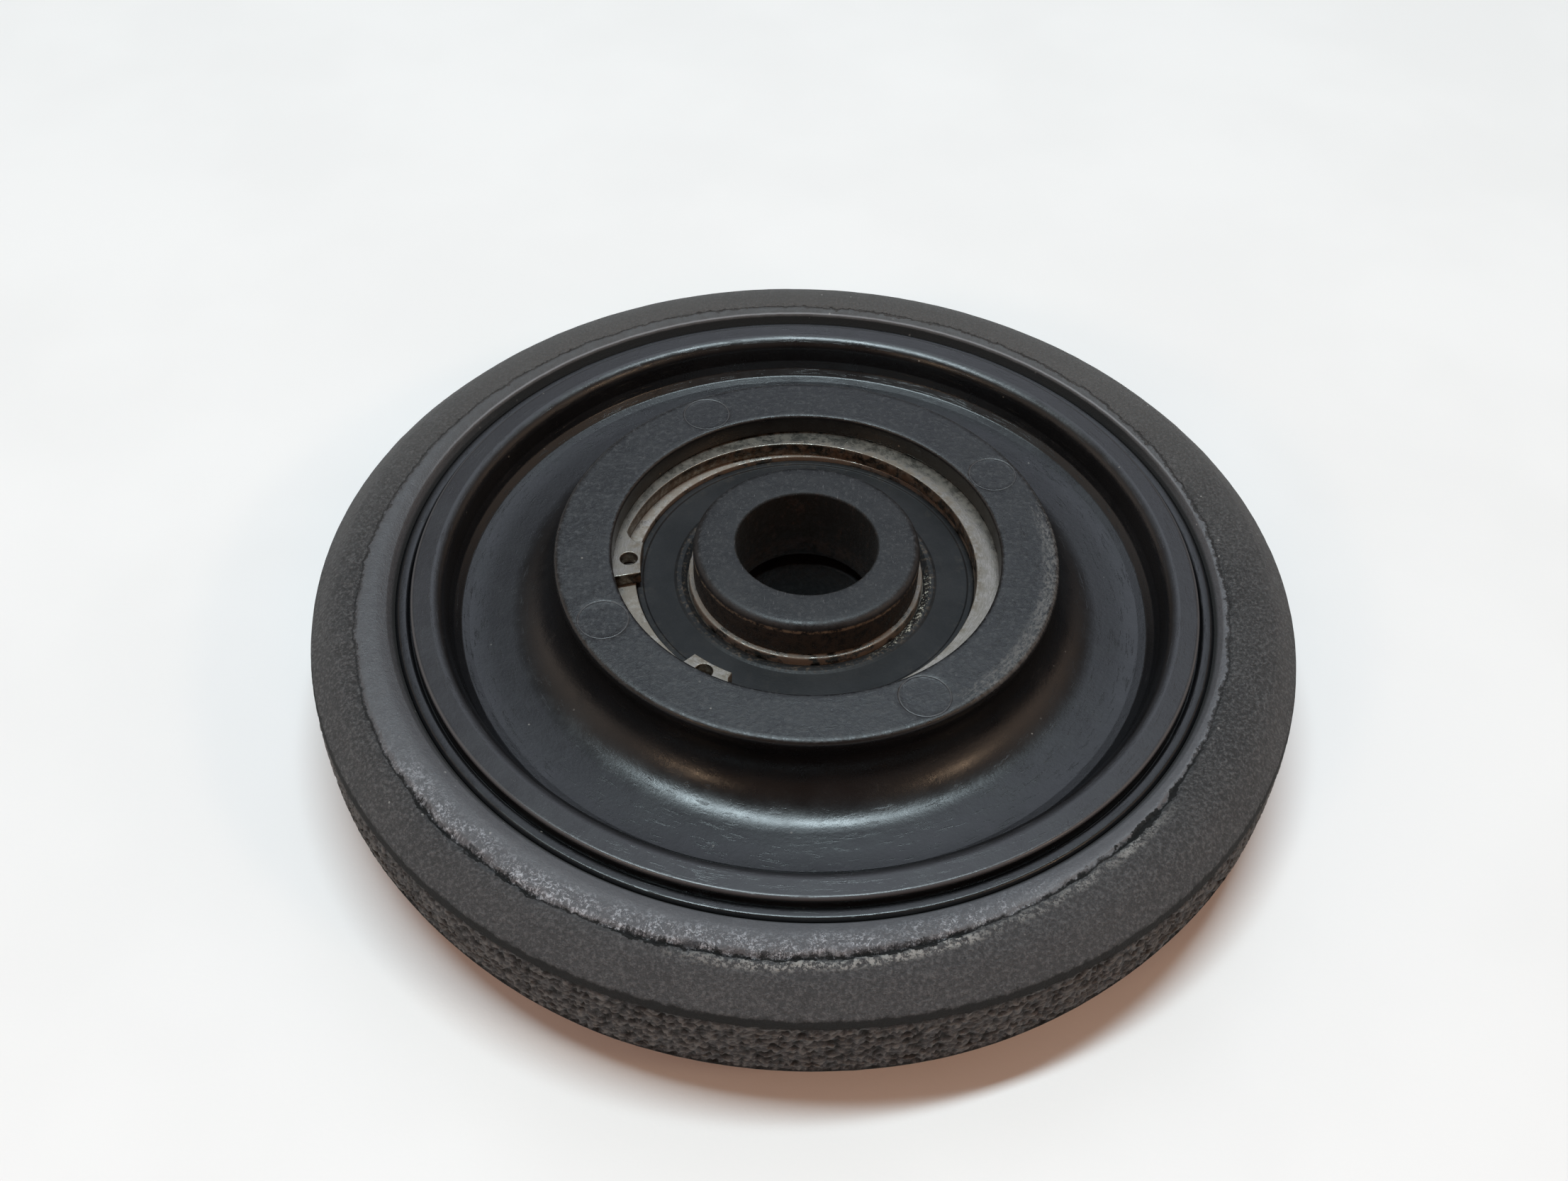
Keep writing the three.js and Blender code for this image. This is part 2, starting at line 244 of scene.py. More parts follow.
class Finish:
    """One procedural material. Coordinates are the object's own, in millimetres."""

    def __init__(self, name):
        self.material = bpy.data.materials.new(name)
        self.material.use_nodes = True
        self.tree = self.material.node_tree
        self.tree.nodes.clear()
        output = self.tree.nodes.new("ShaderNodeOutputMaterial")
        self.shader = self.tree.nodes.new("ShaderNodeBsdfPrincipled")
        self.tree.links.new(self.shader.outputs[0], output.inputs[0])
        coords = self.tree.nodes.new("ShaderNodeTexCoord")
        scaled = self.tree.nodes.new("ShaderNodeVectorMath")
        scaled.operation = "SCALE"
        self.tree.links.new(coords.outputs["Object"], scaled.inputs[0])
        scaled.inputs["Scale"].default_value = 1 / MM
        self.here = scaled.outputs[0]
        split = self.tree.nodes.new("ShaderNodeSeparateXYZ")
        self.tree.links.new(self.here, split.inputs[0])
        self.x, self.y, z = split.outputs
        self.z = self.math("SUBTRACT", z, MID_Z)
        squares = self.plus(self.math("POWER", self.x, 2), self.math("POWER", self.y, 2))
        self.radius = self.math("SQRT", squares)
        self.angle = self.math("ARCTAN2", self.y, self.x)

    def feed(self, socket, value):
        """Links a socket, or sets a number, colour or vector."""
        if isinstance(value, bpy.types.NodeSocket):
            self.tree.links.new(value, socket)
        elif isinstance(value, tuple) and len(value) == 3 and socket.type == "RGBA":
            socket.default_value = (*value, 1)
        else:
            socket.default_value = value

    def math(self, operation, a, b=0.0, clamp=False):
        node = self.tree.nodes.new("ShaderNodeMath")
        node.operation = operation
        node.use_clamp = clamp
        self.feed(node.inputs[0], a)
        self.feed(node.inputs[1], b)
        return node.outputs[0]

    def times(self, first, *others):
        """The product of its arguments."""
        for other in others:
            first = self.math("MULTIPLY", first, other)
        return first

    def plus(self, first, *others):
        """The sum of its arguments."""
        for other in others:
            first = self.math("ADD", first, other)
        return first

    def most(self, first, *others):
        """The largest of its arguments."""
        for other in others:
            first = self.math("MAXIMUM", first, other)
        return first

    def inverse(self, value):
        """What is left of 1."""
        return self.math("SUBTRACT", 1.0, value)

    def attribute(self, name):
        node = self.tree.nodes.new("ShaderNodeAttribute")
        node.attribute_name = name
        return node.outputs["Fac"]

    def noise(self, size, detail=3.0, rough=0.55, vector=None, distortion=0.0):
        """Noise in about 0.2..0.8 with features of that size in mm."""
        node = self.tree.nodes.new("ShaderNodeTexNoise")
        self.feed(node.inputs["Vector"], vector or self.here)
        node.inputs["Scale"].default_value = 1 / size
        node.inputs["Detail"].default_value = detail
        node.inputs["Roughness"].default_value = rough
        node.inputs["Distortion"].default_value = distortion
        return node.outputs[0]

    def cells(self, size):
        """Distance to the nearest of points scattered about that many mm apart, in cells."""
        node = self.tree.nodes.new("ShaderNodeTexVoronoi")
        self.feed(node.inputs["Vector"], self.here)
        node.inputs["Scale"].default_value = 1 / size
        return node.outputs["Distance"]

    def turned(self, around, across):
        """Coordinates for marks that run round the wheel: slow along the turn, quick across it."""
        node = self.tree.nodes.new("ShaderNodeCombineXYZ")
        self.feed(node.inputs[0], self.times(self.math("COSINE", self.angle), around))
        self.feed(node.inputs[1], self.times(self.math("SINE", self.angle), around))
        self.feed(node.inputs[2], self.times(self.plus(self.radius, self.z), across))
        return node.outputs[0]

    def stretched(self, x, y, z):
        """Coordinates scaled by that much along each axis."""
        node = self.tree.nodes.new("ShaderNodeVectorMath")
        node.operation = "MULTIPLY"
        self.feed(node.inputs[0], self.here)
        node.inputs[1].default_value = (x, y, z)
        return node.outputs[0]

    def step(self, value, low, high, out_low=0.0, out_high=1.0):
        """A smooth step from out_low at low to out_high at high."""
        node = self.tree.nodes.new("ShaderNodeMapRange")
        node.interpolation_type = "SMOOTHSTEP"
        self.feed(node.inputs["Value"], value)
        self.feed(node.inputs["From Min"], low)
        self.feed(node.inputs["From Max"], high)
        self.feed(node.inputs["To Min"], out_low)
        self.feed(node.inputs["To Max"], out_high)
        return node.outputs["Result"]

    def mix(self, factor, a, b):
        node = self.tree.nodes.new("ShaderNodeMix")
        node.data_type = "RGBA"
        self.feed(node.inputs[0], factor)
        self.feed(node.inputs[6], a)
        self.feed(node.inputs[7], b)
        return node.outputs[2]

    def at_angle(self, centre_deg, inner_deg, outer_deg):
        """1 within inner degrees of an angle round the wheel, 0 beyond outer degrees."""
        turned = self.math("SUBTRACT", self.angle, math.radians(centre_deg))
        cosine = self.math("COSINE", turned)
        return self.step(cosine, math.cos(math.radians(outer_deg)), math.cos(math.radians(inner_deg)))

    def band(self, value, low, high, soft):
        """1 between low and high, with soft edges."""
        rise = self.step(value, low - soft, low + soft)
        return self.times(rise, self.step(value, high - soft, high + soft, 1.0, 0.0))

    def bump(self, height, depth_mm, normal=None):
        """A normal from a height of 0..1, on top of another normal if one is given."""
        node = self.tree.nodes.new("ShaderNodeBump")
        node.inputs["Distance"].default_value = depth_mm * MM
        self.feed(node.inputs["Height"], height)
        if normal:
            self.feed(node.inputs["Normal"], normal)
        return node.outputs[0]

    def done(self, colour, roughness, normal, metallic=0.0, specular=0.5):
        self.feed(self.shader.inputs["Base Color"], colour)
        self.feed(self.shader.inputs["Roughness"], roughness)
        self.feed(self.shader.inputs["Metallic"], metallic)
        self.feed(self.shader.inputs["Normal"], normal)
        self.shader.inputs["Specular IOR Level"].default_value = specular
        return self.material


# ---- the tyre ------------------------------------------------------------------------------------


def crack_relief(theta, offset):
    """How far open the crack is, 0..1, and its depth in mm at that offset from its line."""
    flat = 0 * theta
    opened = 0.25 + 0.75 * near_angle(theta, -92, 46, 22)
    opened *= 0.5 + 0.5 * smooth(-0.4, 0.2, ring_noise(theta, flat, 70, 1, 8))
    width = 0.26 + 0.3 * smooth(0, 0.8, ring_noise(theta, flat, 150, 1, 9)) * opened
    return opened, np.exp(-((offset / width) ** 2)) * 0.7 * opened


def pebble_depth(theta, z):
    """Depth in mm of the tread's pits and wrinkles."""
    nearest, _ = ring_cells(theta, z, 270, 0.92, 21)
    small, small_second = ring_cells(theta, z + 40, 470, 0.62, 22)
    pits = (1 - smooth(0.1, 0.5, nearest)) * (0.75 + 0.5 * ring_noise(theta, z, 260, 1.4, 24))
    wrinkles = 1 - smooth(0.0, 0.5, small_second - small)
    return np.clip(0.52 * pits + 0.3 * wrinkles - 0.05 * ring_noise(theta, z, 160, 2.4, 23), 0, 0.65)


def tyre_shape(theta, r, z):
    """Pebbled tread, cracked and worn shoulder, and a slightly uneven side band."""
    offset = r - crack_radius(theta)
    opened, groove = crack_relief(theta, offset)
    top = z > 0
    outside = (np.abs(z) > CORNER_TOP - 1) & (r > GROOVE_OUTER + 0.6)
    shoulder = (1 - smooth(-0.5, 0.2, offset)) * 0.06
    side = np.where(outside & top, shoulder - groove, 0)
    side += np.where(outside, 0.03 * ring_noise(theta, r, 300, 1.3, 11), 0)

    reach = np.maximum(z, -z - UNWORN_REACH)
    tread = smooth(65.2, 66.0, r) * (1 - smooth(PEBBLE_TOP - 0.5, PEBBLE_TOP + 0.3, reach))
    depth = tread * pebble_depth(theta, z)
    edge = np.where(reach > CORNER_TOP - 0.6, 1.0, 0.0) * smooth(64.8, 65.5, r)
    nicks = 0.05 * edge * np.abs(ring_noise(theta, r, 360, 0.7, 31))
    z = z + np.sign(z) * (side - nicks)
    worn = 1 - near_angle(theta, -90, 16, 34)
    z = z + worn * UNWORN_REACH * smooth(1, 4, -z) * smooth(62.5, 65.5, r)
    attributes = {
        "crack_offset": offset,
        "crack_open": opened,
        "top_side": top * 1.0,
        "tread_depth": depth / 0.5,
        "tread_height": reach,
    }
    return r - depth, z, attributes


def make_tyre():
    inner = GROOVE_OUTER - 0.2
    wall = GROOVE_OUTER + 0.1
    top = [
        (66.62, 2.4, 3.0),
        (66.5, 3.9, 0.8),
        (66.15, 5.35, 0.35),
        (63.0, 8.45, 5.0),
        (60.2, 9.2, 6.0),
        (57.3, 9.05, 3.0),
        (55.95, 8.45, 0.3),
        (wall, 7.2, 0.12),
        (wall, 6.45, 0.0),
        (inner, 6.3, 0.0),
        (inner, 2.9, 0.0),
        (57.3, 2.5, 0.0),
    ]
    bottom = flipped(top)
    bottom[-3:] = [
        (65.9, -7.0, 0.5),
        (66.5, -3.9 - UNWORN_REACH, 0.8),
        (66.62, -2.4 - UNWORN_REACH, 3.0),
    ]
    corners = bottom + [(TREAD_RADIUS, 0, 0.0)] + top

    def spacing(r, z):
        """Fine on the tread and the visible band, coarse where the rim hides the rubber."""
        if r < 57.4 and abs(z) < 6.3:
            return 9.0
        if r > 65.5:
            return 0.34
        return 0.42 if z > 0 else 1.4

    return revolve("tyre_detailed", filled(rounded(corners, 2), spacing), TYRE_STEPS, tyre_shape)


def groove_painted_shade_and_highlight(f, far):
    """Painted shade on the wall under the tyre's inner lip, and a painted highlight along the lip itself on
    the far side.
    """
    inside = f.times(f.step(f.radius, 55.25, 55.6, 1.0, 0.0), f.step(f.z, 8.0, 8.3, 1.0, 0.0))
    wall = f.most(inside, f.times(far, f.step(f.radius, 55.68, 55.88, 1.0, 0.0)))
    return wall, f.times(far, f.band(f.radius, 55.98, 56.2, 0.1))


def band_colour(f, grain):
    """Mottled and grained grey-black rubber, paler on the far side as a painted sheen, and slightly paler on
    the near side.
    """
    colour = f.mix(f.step(f.noise(9, 3, 0.6), 0.36, 0.66), (0.025, 0.0252, 0.027), (0.037, 0.037, 0.0385))
    colour = f.mix(f.step(grain, 0.47, 0.64, 0.0, 0.75), colour, (0.115, 0.114, 0.115))
    colour = f.mix(f.step(grain, 0.36, 0.5, 0.85, 0.0), colour, (0.008, 0.008, 0.008))
    colour = f.mix(f.times(f.at_angle(-90, 20, 60), 0.16), colour, (0.098, 0.099, 0.107))
    # painted sheen: paler on the far side
    return f.mix(f.times(f.at_angle(92, 35, 95), 0.6), colour, (0.1, 0.096, 0.092))


def shoulder_colour(f, colour, worn, far):
    """The worn shoulder, rubbed smooth, paler towards the near side as a painted sheen and darker on the far
    side.
    """
    # painted sheen: the shoulder's colour is paler towards the near side
    wear_and_sheen = f.mix(f.at_angle(-62, 35, 110), (0.058, 0.0582, 0.063), (0.098, 0.0985, 0.106))
    wear_and_sheen = f.mix(f.times(far, 0.6), wear_and_sheen, (0.036, 0.035, 0.035))
    return f.mix(f.times(worn, 0.8), colour, wear_and_sheen)


def tread_colour(f, colour, tread):
    """Tops paler, partly rubbed wear and partly painted highlight, and painted shade in the hollows."""
    hollow = f.attribute("tread_depth")
    # painted highlight, partly rubbed wear: paler tops
    colour = f.mix(f.times(tread, f.step(hollow, 0.45, 0.0, 0.0, 0.8)), colour, (0.15, 0.145, 0.135))
    # painted shade: near-black hollows
    return f.mix(f.times(tread, f.step(hollow, 0.35, 0.95, 0.0, 0.95)), colour, (0.003, 0.003, 0.003))


def crack_dust(f, offset, opened):
    """Dust caught on the band, and pale crumbs along the crack."""
    speck = f.times(f.step(f.cells(2.4), 0.05, 0.085, 1.0, 0.0), f.step(f.noise(14, 2), 0.48, 0.62))
    crumbs = f.times(f.step(f.noise(0.7, 4, 0.8), 0.46, 0.58), f.band(offset, 0.25, 1.5, 0.4))
    return f.most(f.times(speck, 0.8), f.times(crumbs, f.at_angle(-72, 15, 36), opened))


def crack_shade_line(f, offset, opened, ragged):
    """The crack itself, painted as shade: a broken line of uneven width."""
    width = f.step(f.noise(2.6, 3, 0.7), 0.42, 0.62, 0.04, 0.6)
    width = f.times(width, f.step(opened, 0.35, 0.95, 0.15, 1.0))
    away = f.math("ABSOLUTE", f.plus(offset, f.times(ragged, 0.4)))
    return f.step(away, width, f.plus(width, 0.16), 1.0, 0.0)


def tyre_material():
    f = Finish("used_rubber")
    offset = f.attribute("crack_offset")
    opened = f.attribute("crack_open")
    top = f.attribute("top_side")
    ragged = f.times(f.math("SUBTRACT", f.noise(1.1, 5, 0.75), 0.5), 2.2)
    worn = f.times(f.step(f.plus(offset, ragged), -0.35, 0.05, 1.0, 0.0), top)
    waver = f.times(f.math("SUBTRACT", f.noise(1.3, 4, 0.75), 0.5), 1.6)
    height = f.plus(f.attribute("tread_height"), waver)
    corner = f.band(height, PEBBLE_TOP - 0.25, CORNER_TOP - 0.3, 0.3)
    tread = f.step(height, PEBBLE_TOP - 0.65, PEBBLE_TOP - 0.05, 1.0, 0.0)
    grain = f.noise(0.45, 4, 0.8)
    far = f.at_angle(90, 50, 85)
    wall, lip = groove_painted_shade_and_highlight(f, far)

    colour = shoulder_colour(f, band_colour(f, grain), worn, far)
    # painted highlight: a pale line along the inner lip on the far side
    colour = f.mix(f.times(lip, 0.8), colour, (0.2, 0.2, 0.21))
    # painted shade: the wall under the inner lip is painted near-black
    colour = f.mix(f.times(wall, 0.95), colour, (0.003, 0.003, 0.003))
    # painted shade: the smooth corner band between the side band and the tread is painted near-black
    colour = f.mix(f.times(corner, 0.95), colour, (0.002, 0.002, 0.002))
    colour = tread_colour(f, colour, tread)
    colour = f.mix(f.times(crack_dust(f, offset, opened), top), colour, (0.3, 0.295, 0.28))
    cut = f.times(crack_shade_line(f, offset, opened, ragged), top)
    # painted shade: the crack is painted near-black
    colour = f.mix(f.times(cut, f.step(opened, 0.15, 0.6, 0.45, 1.0)), colour, (0.0015, 0.0015, 0.0015))

    # inside the crack the rubber is rubbed shiny: a painted bluish sheen over it, and clumps of painted
    # glints
    rubbed = f.times(worn, f.step(offset, -3.9, -1.5), f.at_angle(-102, 14, 52))
    strokes = f.noise(0.6, 5, 0.85, f.turned(50, 0.8), 1.6)
    scratches = f.plus(f.times(f.noise(0.5, 5, 0.85, distortion=0.8), 0.55), f.times(strokes, 0.45))
    clumps = f.step(f.noise(2.8, 3, 0.6), 0.4, 0.6, 0.35, 1.0)
    glint = f.times(f.step(scratches, 0.5, 0.56), rubbed, clumps)
    # painted sheen over the rubbed zone
    colour = f.mix(f.times(rubbed, 0.4), colour, (0.08, 0.083, 0.093))
    # painted glints: pale flecks
    colour = f.mix(f.times(glint, 0.8), colour, (0.5, 0.515, 0.55))

    shine = f.plus(f.step(f.noise(1.4, 4, 0.7), 0.35, 0.65, 0.38, 0.5), f.times(far, 0.2))
    roughness = f.times(f.step(grain, 0.3, 0.7, 0.6, 0.76), f.inverse(worn))
    roughness = f.plus(roughness, f.times(shine, worn))
    roughness = f.math("ADD", roughness, f.times(f.most(wall, cut, corner), 0.4), True)

    grit = f.plus(f.times(grain, 0.7), f.times(f.noise(0.2, 2, 0.7), 0.3))
    normal = f.bump(f.times(grit, f.inverse(f.times(worn, 0.75))), 0.5)
    normal = f.bump(f.times(scratches, rubbed), 0.2, normal)
    return f.done(colour, roughness, normal, specular=0.6)


# ---- the moulded wheel ---------------------------------------------------------------------------


def pin_mark_depth(x, y):
    """Depth in mm of the round ejector-pin marks on a hub face."""
    depth = np.zeros_like(x)
    for mark_x, mark_y in PIN_MARKS:
        away = np.hypot(x - mark_x, y - mark_y)
        depth += 0.1 * (1 - smooth(PIN_MARK_RADIUS - 0.25, PIN_MARK_RADIUS + 0.1, away))
    return depth


def wheel_shape(theta, r, z):
    """Sinks the ejector-pin marks into both hub faces."""
    on_face = (np.abs(z) > FACE_TOP - 0.1) & (r > 26.4) & (r < 33.2)
    depth = pin_mark_depth(r * np.cos(theta), r * np.sin(theta))
    return r, z - np.sign(z) * np.where(on_face, depth, 0), {}


def make_wheel():
    cove_top, cove_radius, hub, hub_rim = 9.7, 6.7, 33.5, 33.85
    cove_steps = 12
    cove = []
    for k in range(cove_steps + 1):
        a = math.radians(180 + 90 * k / cove_steps)
        r = hub + cove_radius + cove_radius * math.cos(a)
        cove.append((r, cove_top + cove_radius * math.sin(a), 0.0))
    face = [
        (BEARING_SEAT, FACE_TOP, 0.45),
        (hub_rim, FACE_TOP, 0.95),
        (hub_rim - 0.1, 11.2, 0.6),
        *cove,
        (47.9, 3.0, 2.6),
        (48.75, 8.8, 1.7),
        (52.9, 8.8, 0.4),
        (52.95, 6.55, 0.1),
        (53.25, 6.6, 0.1),
        (53.35, 7.55, 0.4),
        (54.6, 7.62, 0.4),
        (GROOVE_OUTER, 7.2, 0.12),
        (GROOVE_OUTER, 6.6, 0.0),
        (54.64, 6.5, 0.0),
        (54.64, 2.6, 0.0),
        (57.0, 2.2, 0.0),
    ]
    lower_opening = 23.5
    bore = [
        (BEARING_SEAT, 9.7, 0.12),
        (27.5, 9.7, 0.0),
        (27.5, 7.55, 0.0),
        (BEARING_SEAT, 7.55, 0.12),
        (BEARING_SEAT, -7.55, 0.1),
        (lower_opening, -7.55, 0.15),
    ]
    below = [(r, -z, fillet) for r, z, fillet in face]
    below[0] = (lower_opening, -FACE_TOP, 0.45)
    corners = below + list(reversed(face)) + bore

    def spacing(_r, z):
        """Fine on the hub faces, where the pin marks are."""
        if z > FACE_TOP - 0.1:
            return 0.4
        return 0.7 if z < 0.1 - FACE_TOP else 3.5

    return revolve("wheel_moulding", filled(rounded(corners, 3), spacing), WHEEL_STEPS, wheel_shape)


def pin_mark_rims(f):
    """A crisp rim round each ejector-pin mark."""
    rims = 0.0
    for mark_x, mark_y in PIN_MARKS:
        dx = f.math("SUBTRACT", f.x, mark_x)
        dy = f.math("SUBTRACT", f.y, mark_y)
        away = f.math("SQRT", f.plus(f.times(dx, dx), f.times(dy, dy)))
        rims = f.most(rims, f.band(away, PIN_MARK_RADIUS - 0.14, PIN_MARK_RADIUS + 0.02, 0.09))
    return f.times(rims, f.step(f.math("ABSOLUTE", f.z), 12.2, 12.4))


def rim_face_colour(f, colour):
    """The flat ring inside the tyre is a little paler, with a painted highlight along its outer edge."""
    ring = f.times(f.band(f.radius, 48.6, 53.0, 0.3), f.step(f.z, 8.4, 8.75))
    colour = f.mix(f.times(ring, 0.8), colour, (0.022, 0.0222, 0.0245))
    edge = f.times(f.band(f.radius, 52.55, 53.05, 0.12), f.step(f.z, 8.2, 8.5))
    # painted highlight: a pale line along the ring's outer edge
    return f.mix(f.times(edge, 0.8), colour, (0.06, 0.06, 0.064))


def hub_scuff(f):
    """Scuffs along the hub's rim, thickest on one side."""
    rim = f.times(f.step(f.z, 11.6, 12.4), f.band(f.radius, 31.6, 33.6, 0.5))
    rubbed = f.times(f.noise(0.45, 4, 0.8, f.turned(20, 1.4)), f.at_angle(-18, 20, 60))
    return f.times(rim, f.step(rubbed, 0.4, 0.62))


def plastic_material():
    f = Finish("black_moulded_plastic")
    hub_top = f.times(f.step(f.z, 12.3, 12.65), f.step(f.radius, 25.5, 26.2))
    cloud = f.noise(4.5, 4, 0.65)
    marks = f.noise(0.8, 5, 0.8)
    rims = pin_mark_rims(f)
    scuff = hub_scuff(f)
    streak = f.step(f.noise(0.6, 4, 0.75, f.turned(7, 1.3)), 0.56, 0.7)

    broad = f.step(f.noise(22, 3, 0.55), 0.35, 0.68)
    colour = f.mix(broad, (0.003, 0.0031, 0.0037), (0.006, 0.0062, 0.0072))
    colour = rim_face_colour(f, colour)

    # pale dust in the recesses, then a rubbed bloom and fine marks on the hub
    dust = f.times(f.step(f.noise(0.5, 4, 0.75), 0.6, 0.74), f.step(cloud, 0.48, 0.66))
    colour = f.mix(f.times(dust, 0.35), colour, (0.07, 0.068, 0.065))
    colour = f.mix(f.times(hub_top, f.step(cloud, 0.4, 0.65, 0.0, 0.9)), colour, (0.009, 0.0092, 0.0105))
    colour = f.mix(f.times(hub_top, f.step(marks, 0.5, 0.66, 0.0, 0.7)), colour, (0.042, 0.042, 0.045))
    colour = f.mix(f.times(scuff, 0.6), colour, (0.14, 0.135, 0.13))
    speck = f.times(f.step(f.cells(3.1), 0.03, 0.06, 1.0, 0.0), f.step(f.noise(9, 1), 0.5, 0.62))
    colour = f.mix(f.times(speck, 0.75), colour, (0.2, 0.19, 0.17))
    colour = f.mix(f.times(rims, 0.6), colour, (0.07, 0.07, 0.074))

    rubbed = f.times(hub_top, f.step(marks, 0.35, 0.65, 0.0, 0.24))
    roughness = f.plus(f.step(cloud, 0.3, 0.7, 0.26, 0.35), rubbed)
    roughness = f.plus(roughness, f.times(streak, 0.1), f.times(scuff, 0.25))

    normal = f.bump(f.noise(0.5, 4, 0.7), 0.02)
    normal = f.bump(f.noise(3.2, 3, 0.6), 0.03, normal)
    normal = f.bump(f.times(marks, hub_top), 0.05, normal)
    normal = f.bump(streak, 0.012, normal)
    normal = f.bump(f.inverse(rims), 0.05, normal)
    return f.done(colour, roughness, normal, specular=0.6)


# ---- the bearing ---------------------------------------------------------------------------------


def bearing_part(name, corners, arc_steps=4):
    """Turns a section for the bearing or a bushing."""
    section = filled(rounded(corners, arc_steps), lambda r, z: BEARING_SPACING)
    return revolve(name, section, BEARING_STEPS)


def ball_track(middle_r, start_deg, end_deg):
    """The arc of a raceway about a centre on the mid-plane."""
    steps = 12
    track = []
    for k in range(steps + 1):
        a = math.radians(start_deg + (end_deg - start_deg) * k / steps)
        track.append((middle_r + TRACK_RADIUS * math.cos(a), TRACK_RADIUS * math.sin(a), 0.0))
    return track


def make_outer_ring():
    corners = [
        (21.4, -5.8, 0.1),
        (23.1, -5.8, 0.0),
        (23.1, -7.5, 0.15),
        (26.0, -7.5, 0.8),
        (26.0, 7.5, 0.8),
        (23.1, 7.5, 0.15),
        (23.1, 5.8, 0.0),
        (21.4, 5.8, 0.1),
    ]
    return bearing_part("outer_bearing_ring", corners + ball_track(19.17, 56, -56))


def make_inner_ring():
    corners = [
        (12.5, -7.5, 0.6),
        (15.9, -7.5, 0.2),
        (15.9, -5.6, 0.0),
        (17.15, -5.6, 0.1),
    ]
    return bearing_part("inner_bearing_ring", corners + ball_track(19.36, 240, 120) + flipped(corners))


def make_seal(name, sign):
    """A moulded rubber seal: flat web, low beads near both edges, and a thin lip at the inner ring."""
    top = [
        (23.0, 5.95, 0.0),
        (23.0, 6.95, 0.25),
        (22.2, 6.95, 0.15),
        (22.0, 6.75, 0.15),
        (17.9, 6.75, 0.2),
        (17.5, 6.93, 0.2),
        (16.9, 6.9, 0.2),
        (16.12, 6.4, 0.1),
        (16.12, 6.12, 0.0),
        (16.7, 5.95, 0.0),
    ]
    return bearing_part(name, top if sign > 0 else flipped(top))


def steel_material(name, tan_amount, brightness):
    """Ground bearing steel under a thin film of tan grime."""
    f = Finish(name)
    lines = f.noise(0.25, 3, 0.7, f.turned(6, 4.0))
    grime = f.step(f.noise(2.4, 4, 0.7), 0.62 - 0.34 * tan_amount, 0.74 - 0.24 * tan_amount)
    clean = tuple(brightness * c for c in (0.42, 0.39, 0.355))
    colour = f.mix(f.step(lines, 0.35, 0.65), clean, tuple(0.8 * c for c in clean))
    colour = f.mix(f.times(grime, 0.4 + 0.5 * tan_amount), colour, (0.16, 0.13, 0.1))
    dark = f.step(f.noise(0.6, 4, 0.75), 0.58, 0.7)
    colour = f.mix(f.times(dark, 0.45), colour, (0.05, 0.035, 0.025))
    metallic = f.inverse(f.times(grime, 0.75))
    roughness = f.plus(f.step(lines, 0.3, 0.7, 0.24, 0.36), f.times(grime, 0.3))
    normal = f.bump(lines, 0.02)
    normal = f.bump(f.noise(0.4, 3, 0.7), 0.01, normal)
    return f.done(colour, roughness, normal, metallic)


def seal_material():
    f = Finish("bearing_seal_rubber")
    broad = f.noise(7, 3, 0.6)
    fine = f.noise(0.35, 3, 0.7)
    colour = f.mix(f.step(broad, 0.35, 0.65), (0.0075, 0.0078, 0.0085), (0.014, 0.014, 0.0147))
    film = f.times(f.step(f.noise(1.6, 4, 0.75), 0.52, 0.72), f.step(f.radius, 20.5, 22.8, 0.15, 0.7))
    colour = f.mix(film, colour, (0.045, 0.038, 0.03))
    # dried grease thrown out of the lip on one side
    grease = f.times(f.step(f.noise(0.5, 4, 0.8), 0.53, 0.58), f.band(f.radius, 16.1, 17.1, 0.25))
    grease = f.times(grease, f.at_angle(-24, 12, 36))
    colour = f.mix(grease, colour, (0.5, 0.48, 0.4))
    brown = f.times(f.step(f.noise(0.7, 3, 0.7), 0.5, 0.66), f.band(f.radius, 16.4, 17.6, 0.3))
    colour = f.mix(f.times(brown, 0.5), colour, (0.11, 0.08, 0.055))
    roughness = f.plus(f.step(fine, 0.3, 0.7, 0.42, 0.58), f.times(grease, 0.2))
    normal = f.bump(fine, 0.012)
    normal = f.bump(f.noise(0.3, 3, 0.7, f.turned(5, 3.0)), 0.01, normal)
    normal = f.bump(grease, 0.12, normal)
    return f.done(colour, roughness, normal, specular=0.25)


def cage_material():
    f = Finish("pressed_cage_steel")
    lines = f.noise(0.5, 3, 0.7)
    colour = f.mix(f.step(lines, 0.35, 0.65), (0.42, 0.41, 0.39), (0.3, 0.29, 0.27))
    oil = f.step(f.noise(2.2, 3), 0.5, 0.65)
    colour = f.mix(f.times(oil, 0.4), colour, (0.16, 0.12, 0.07))
    return f.done(colour, f.step(lines, 0.3, 0.7, 0.3, 0.45), f.bump(lines, 0.015), 1.0)


def ball_material():
    f = Finish("polished_ball_steel")
    film = f.noise(1.8, 3, 0.6)
    colour = f.mix(f.step(film, 0.45, 0.7), (0.72, 0.72, 0.71), (0.55, 0.5, 0.4))
    return f.done(colour, f.step(film, 0.35, 0.7, 0.06, 0.2), f.bump(f.noise(0.3, 2), 0.002), 1.0)


# ---- the snap ring -------------------------------------------------------------------------------


def on_circle(radius, angle, middle=(0.0, 0.0)):
    return (middle[0] + radius * math.cos(angle), middle[1] + radius * math.sin(angle))


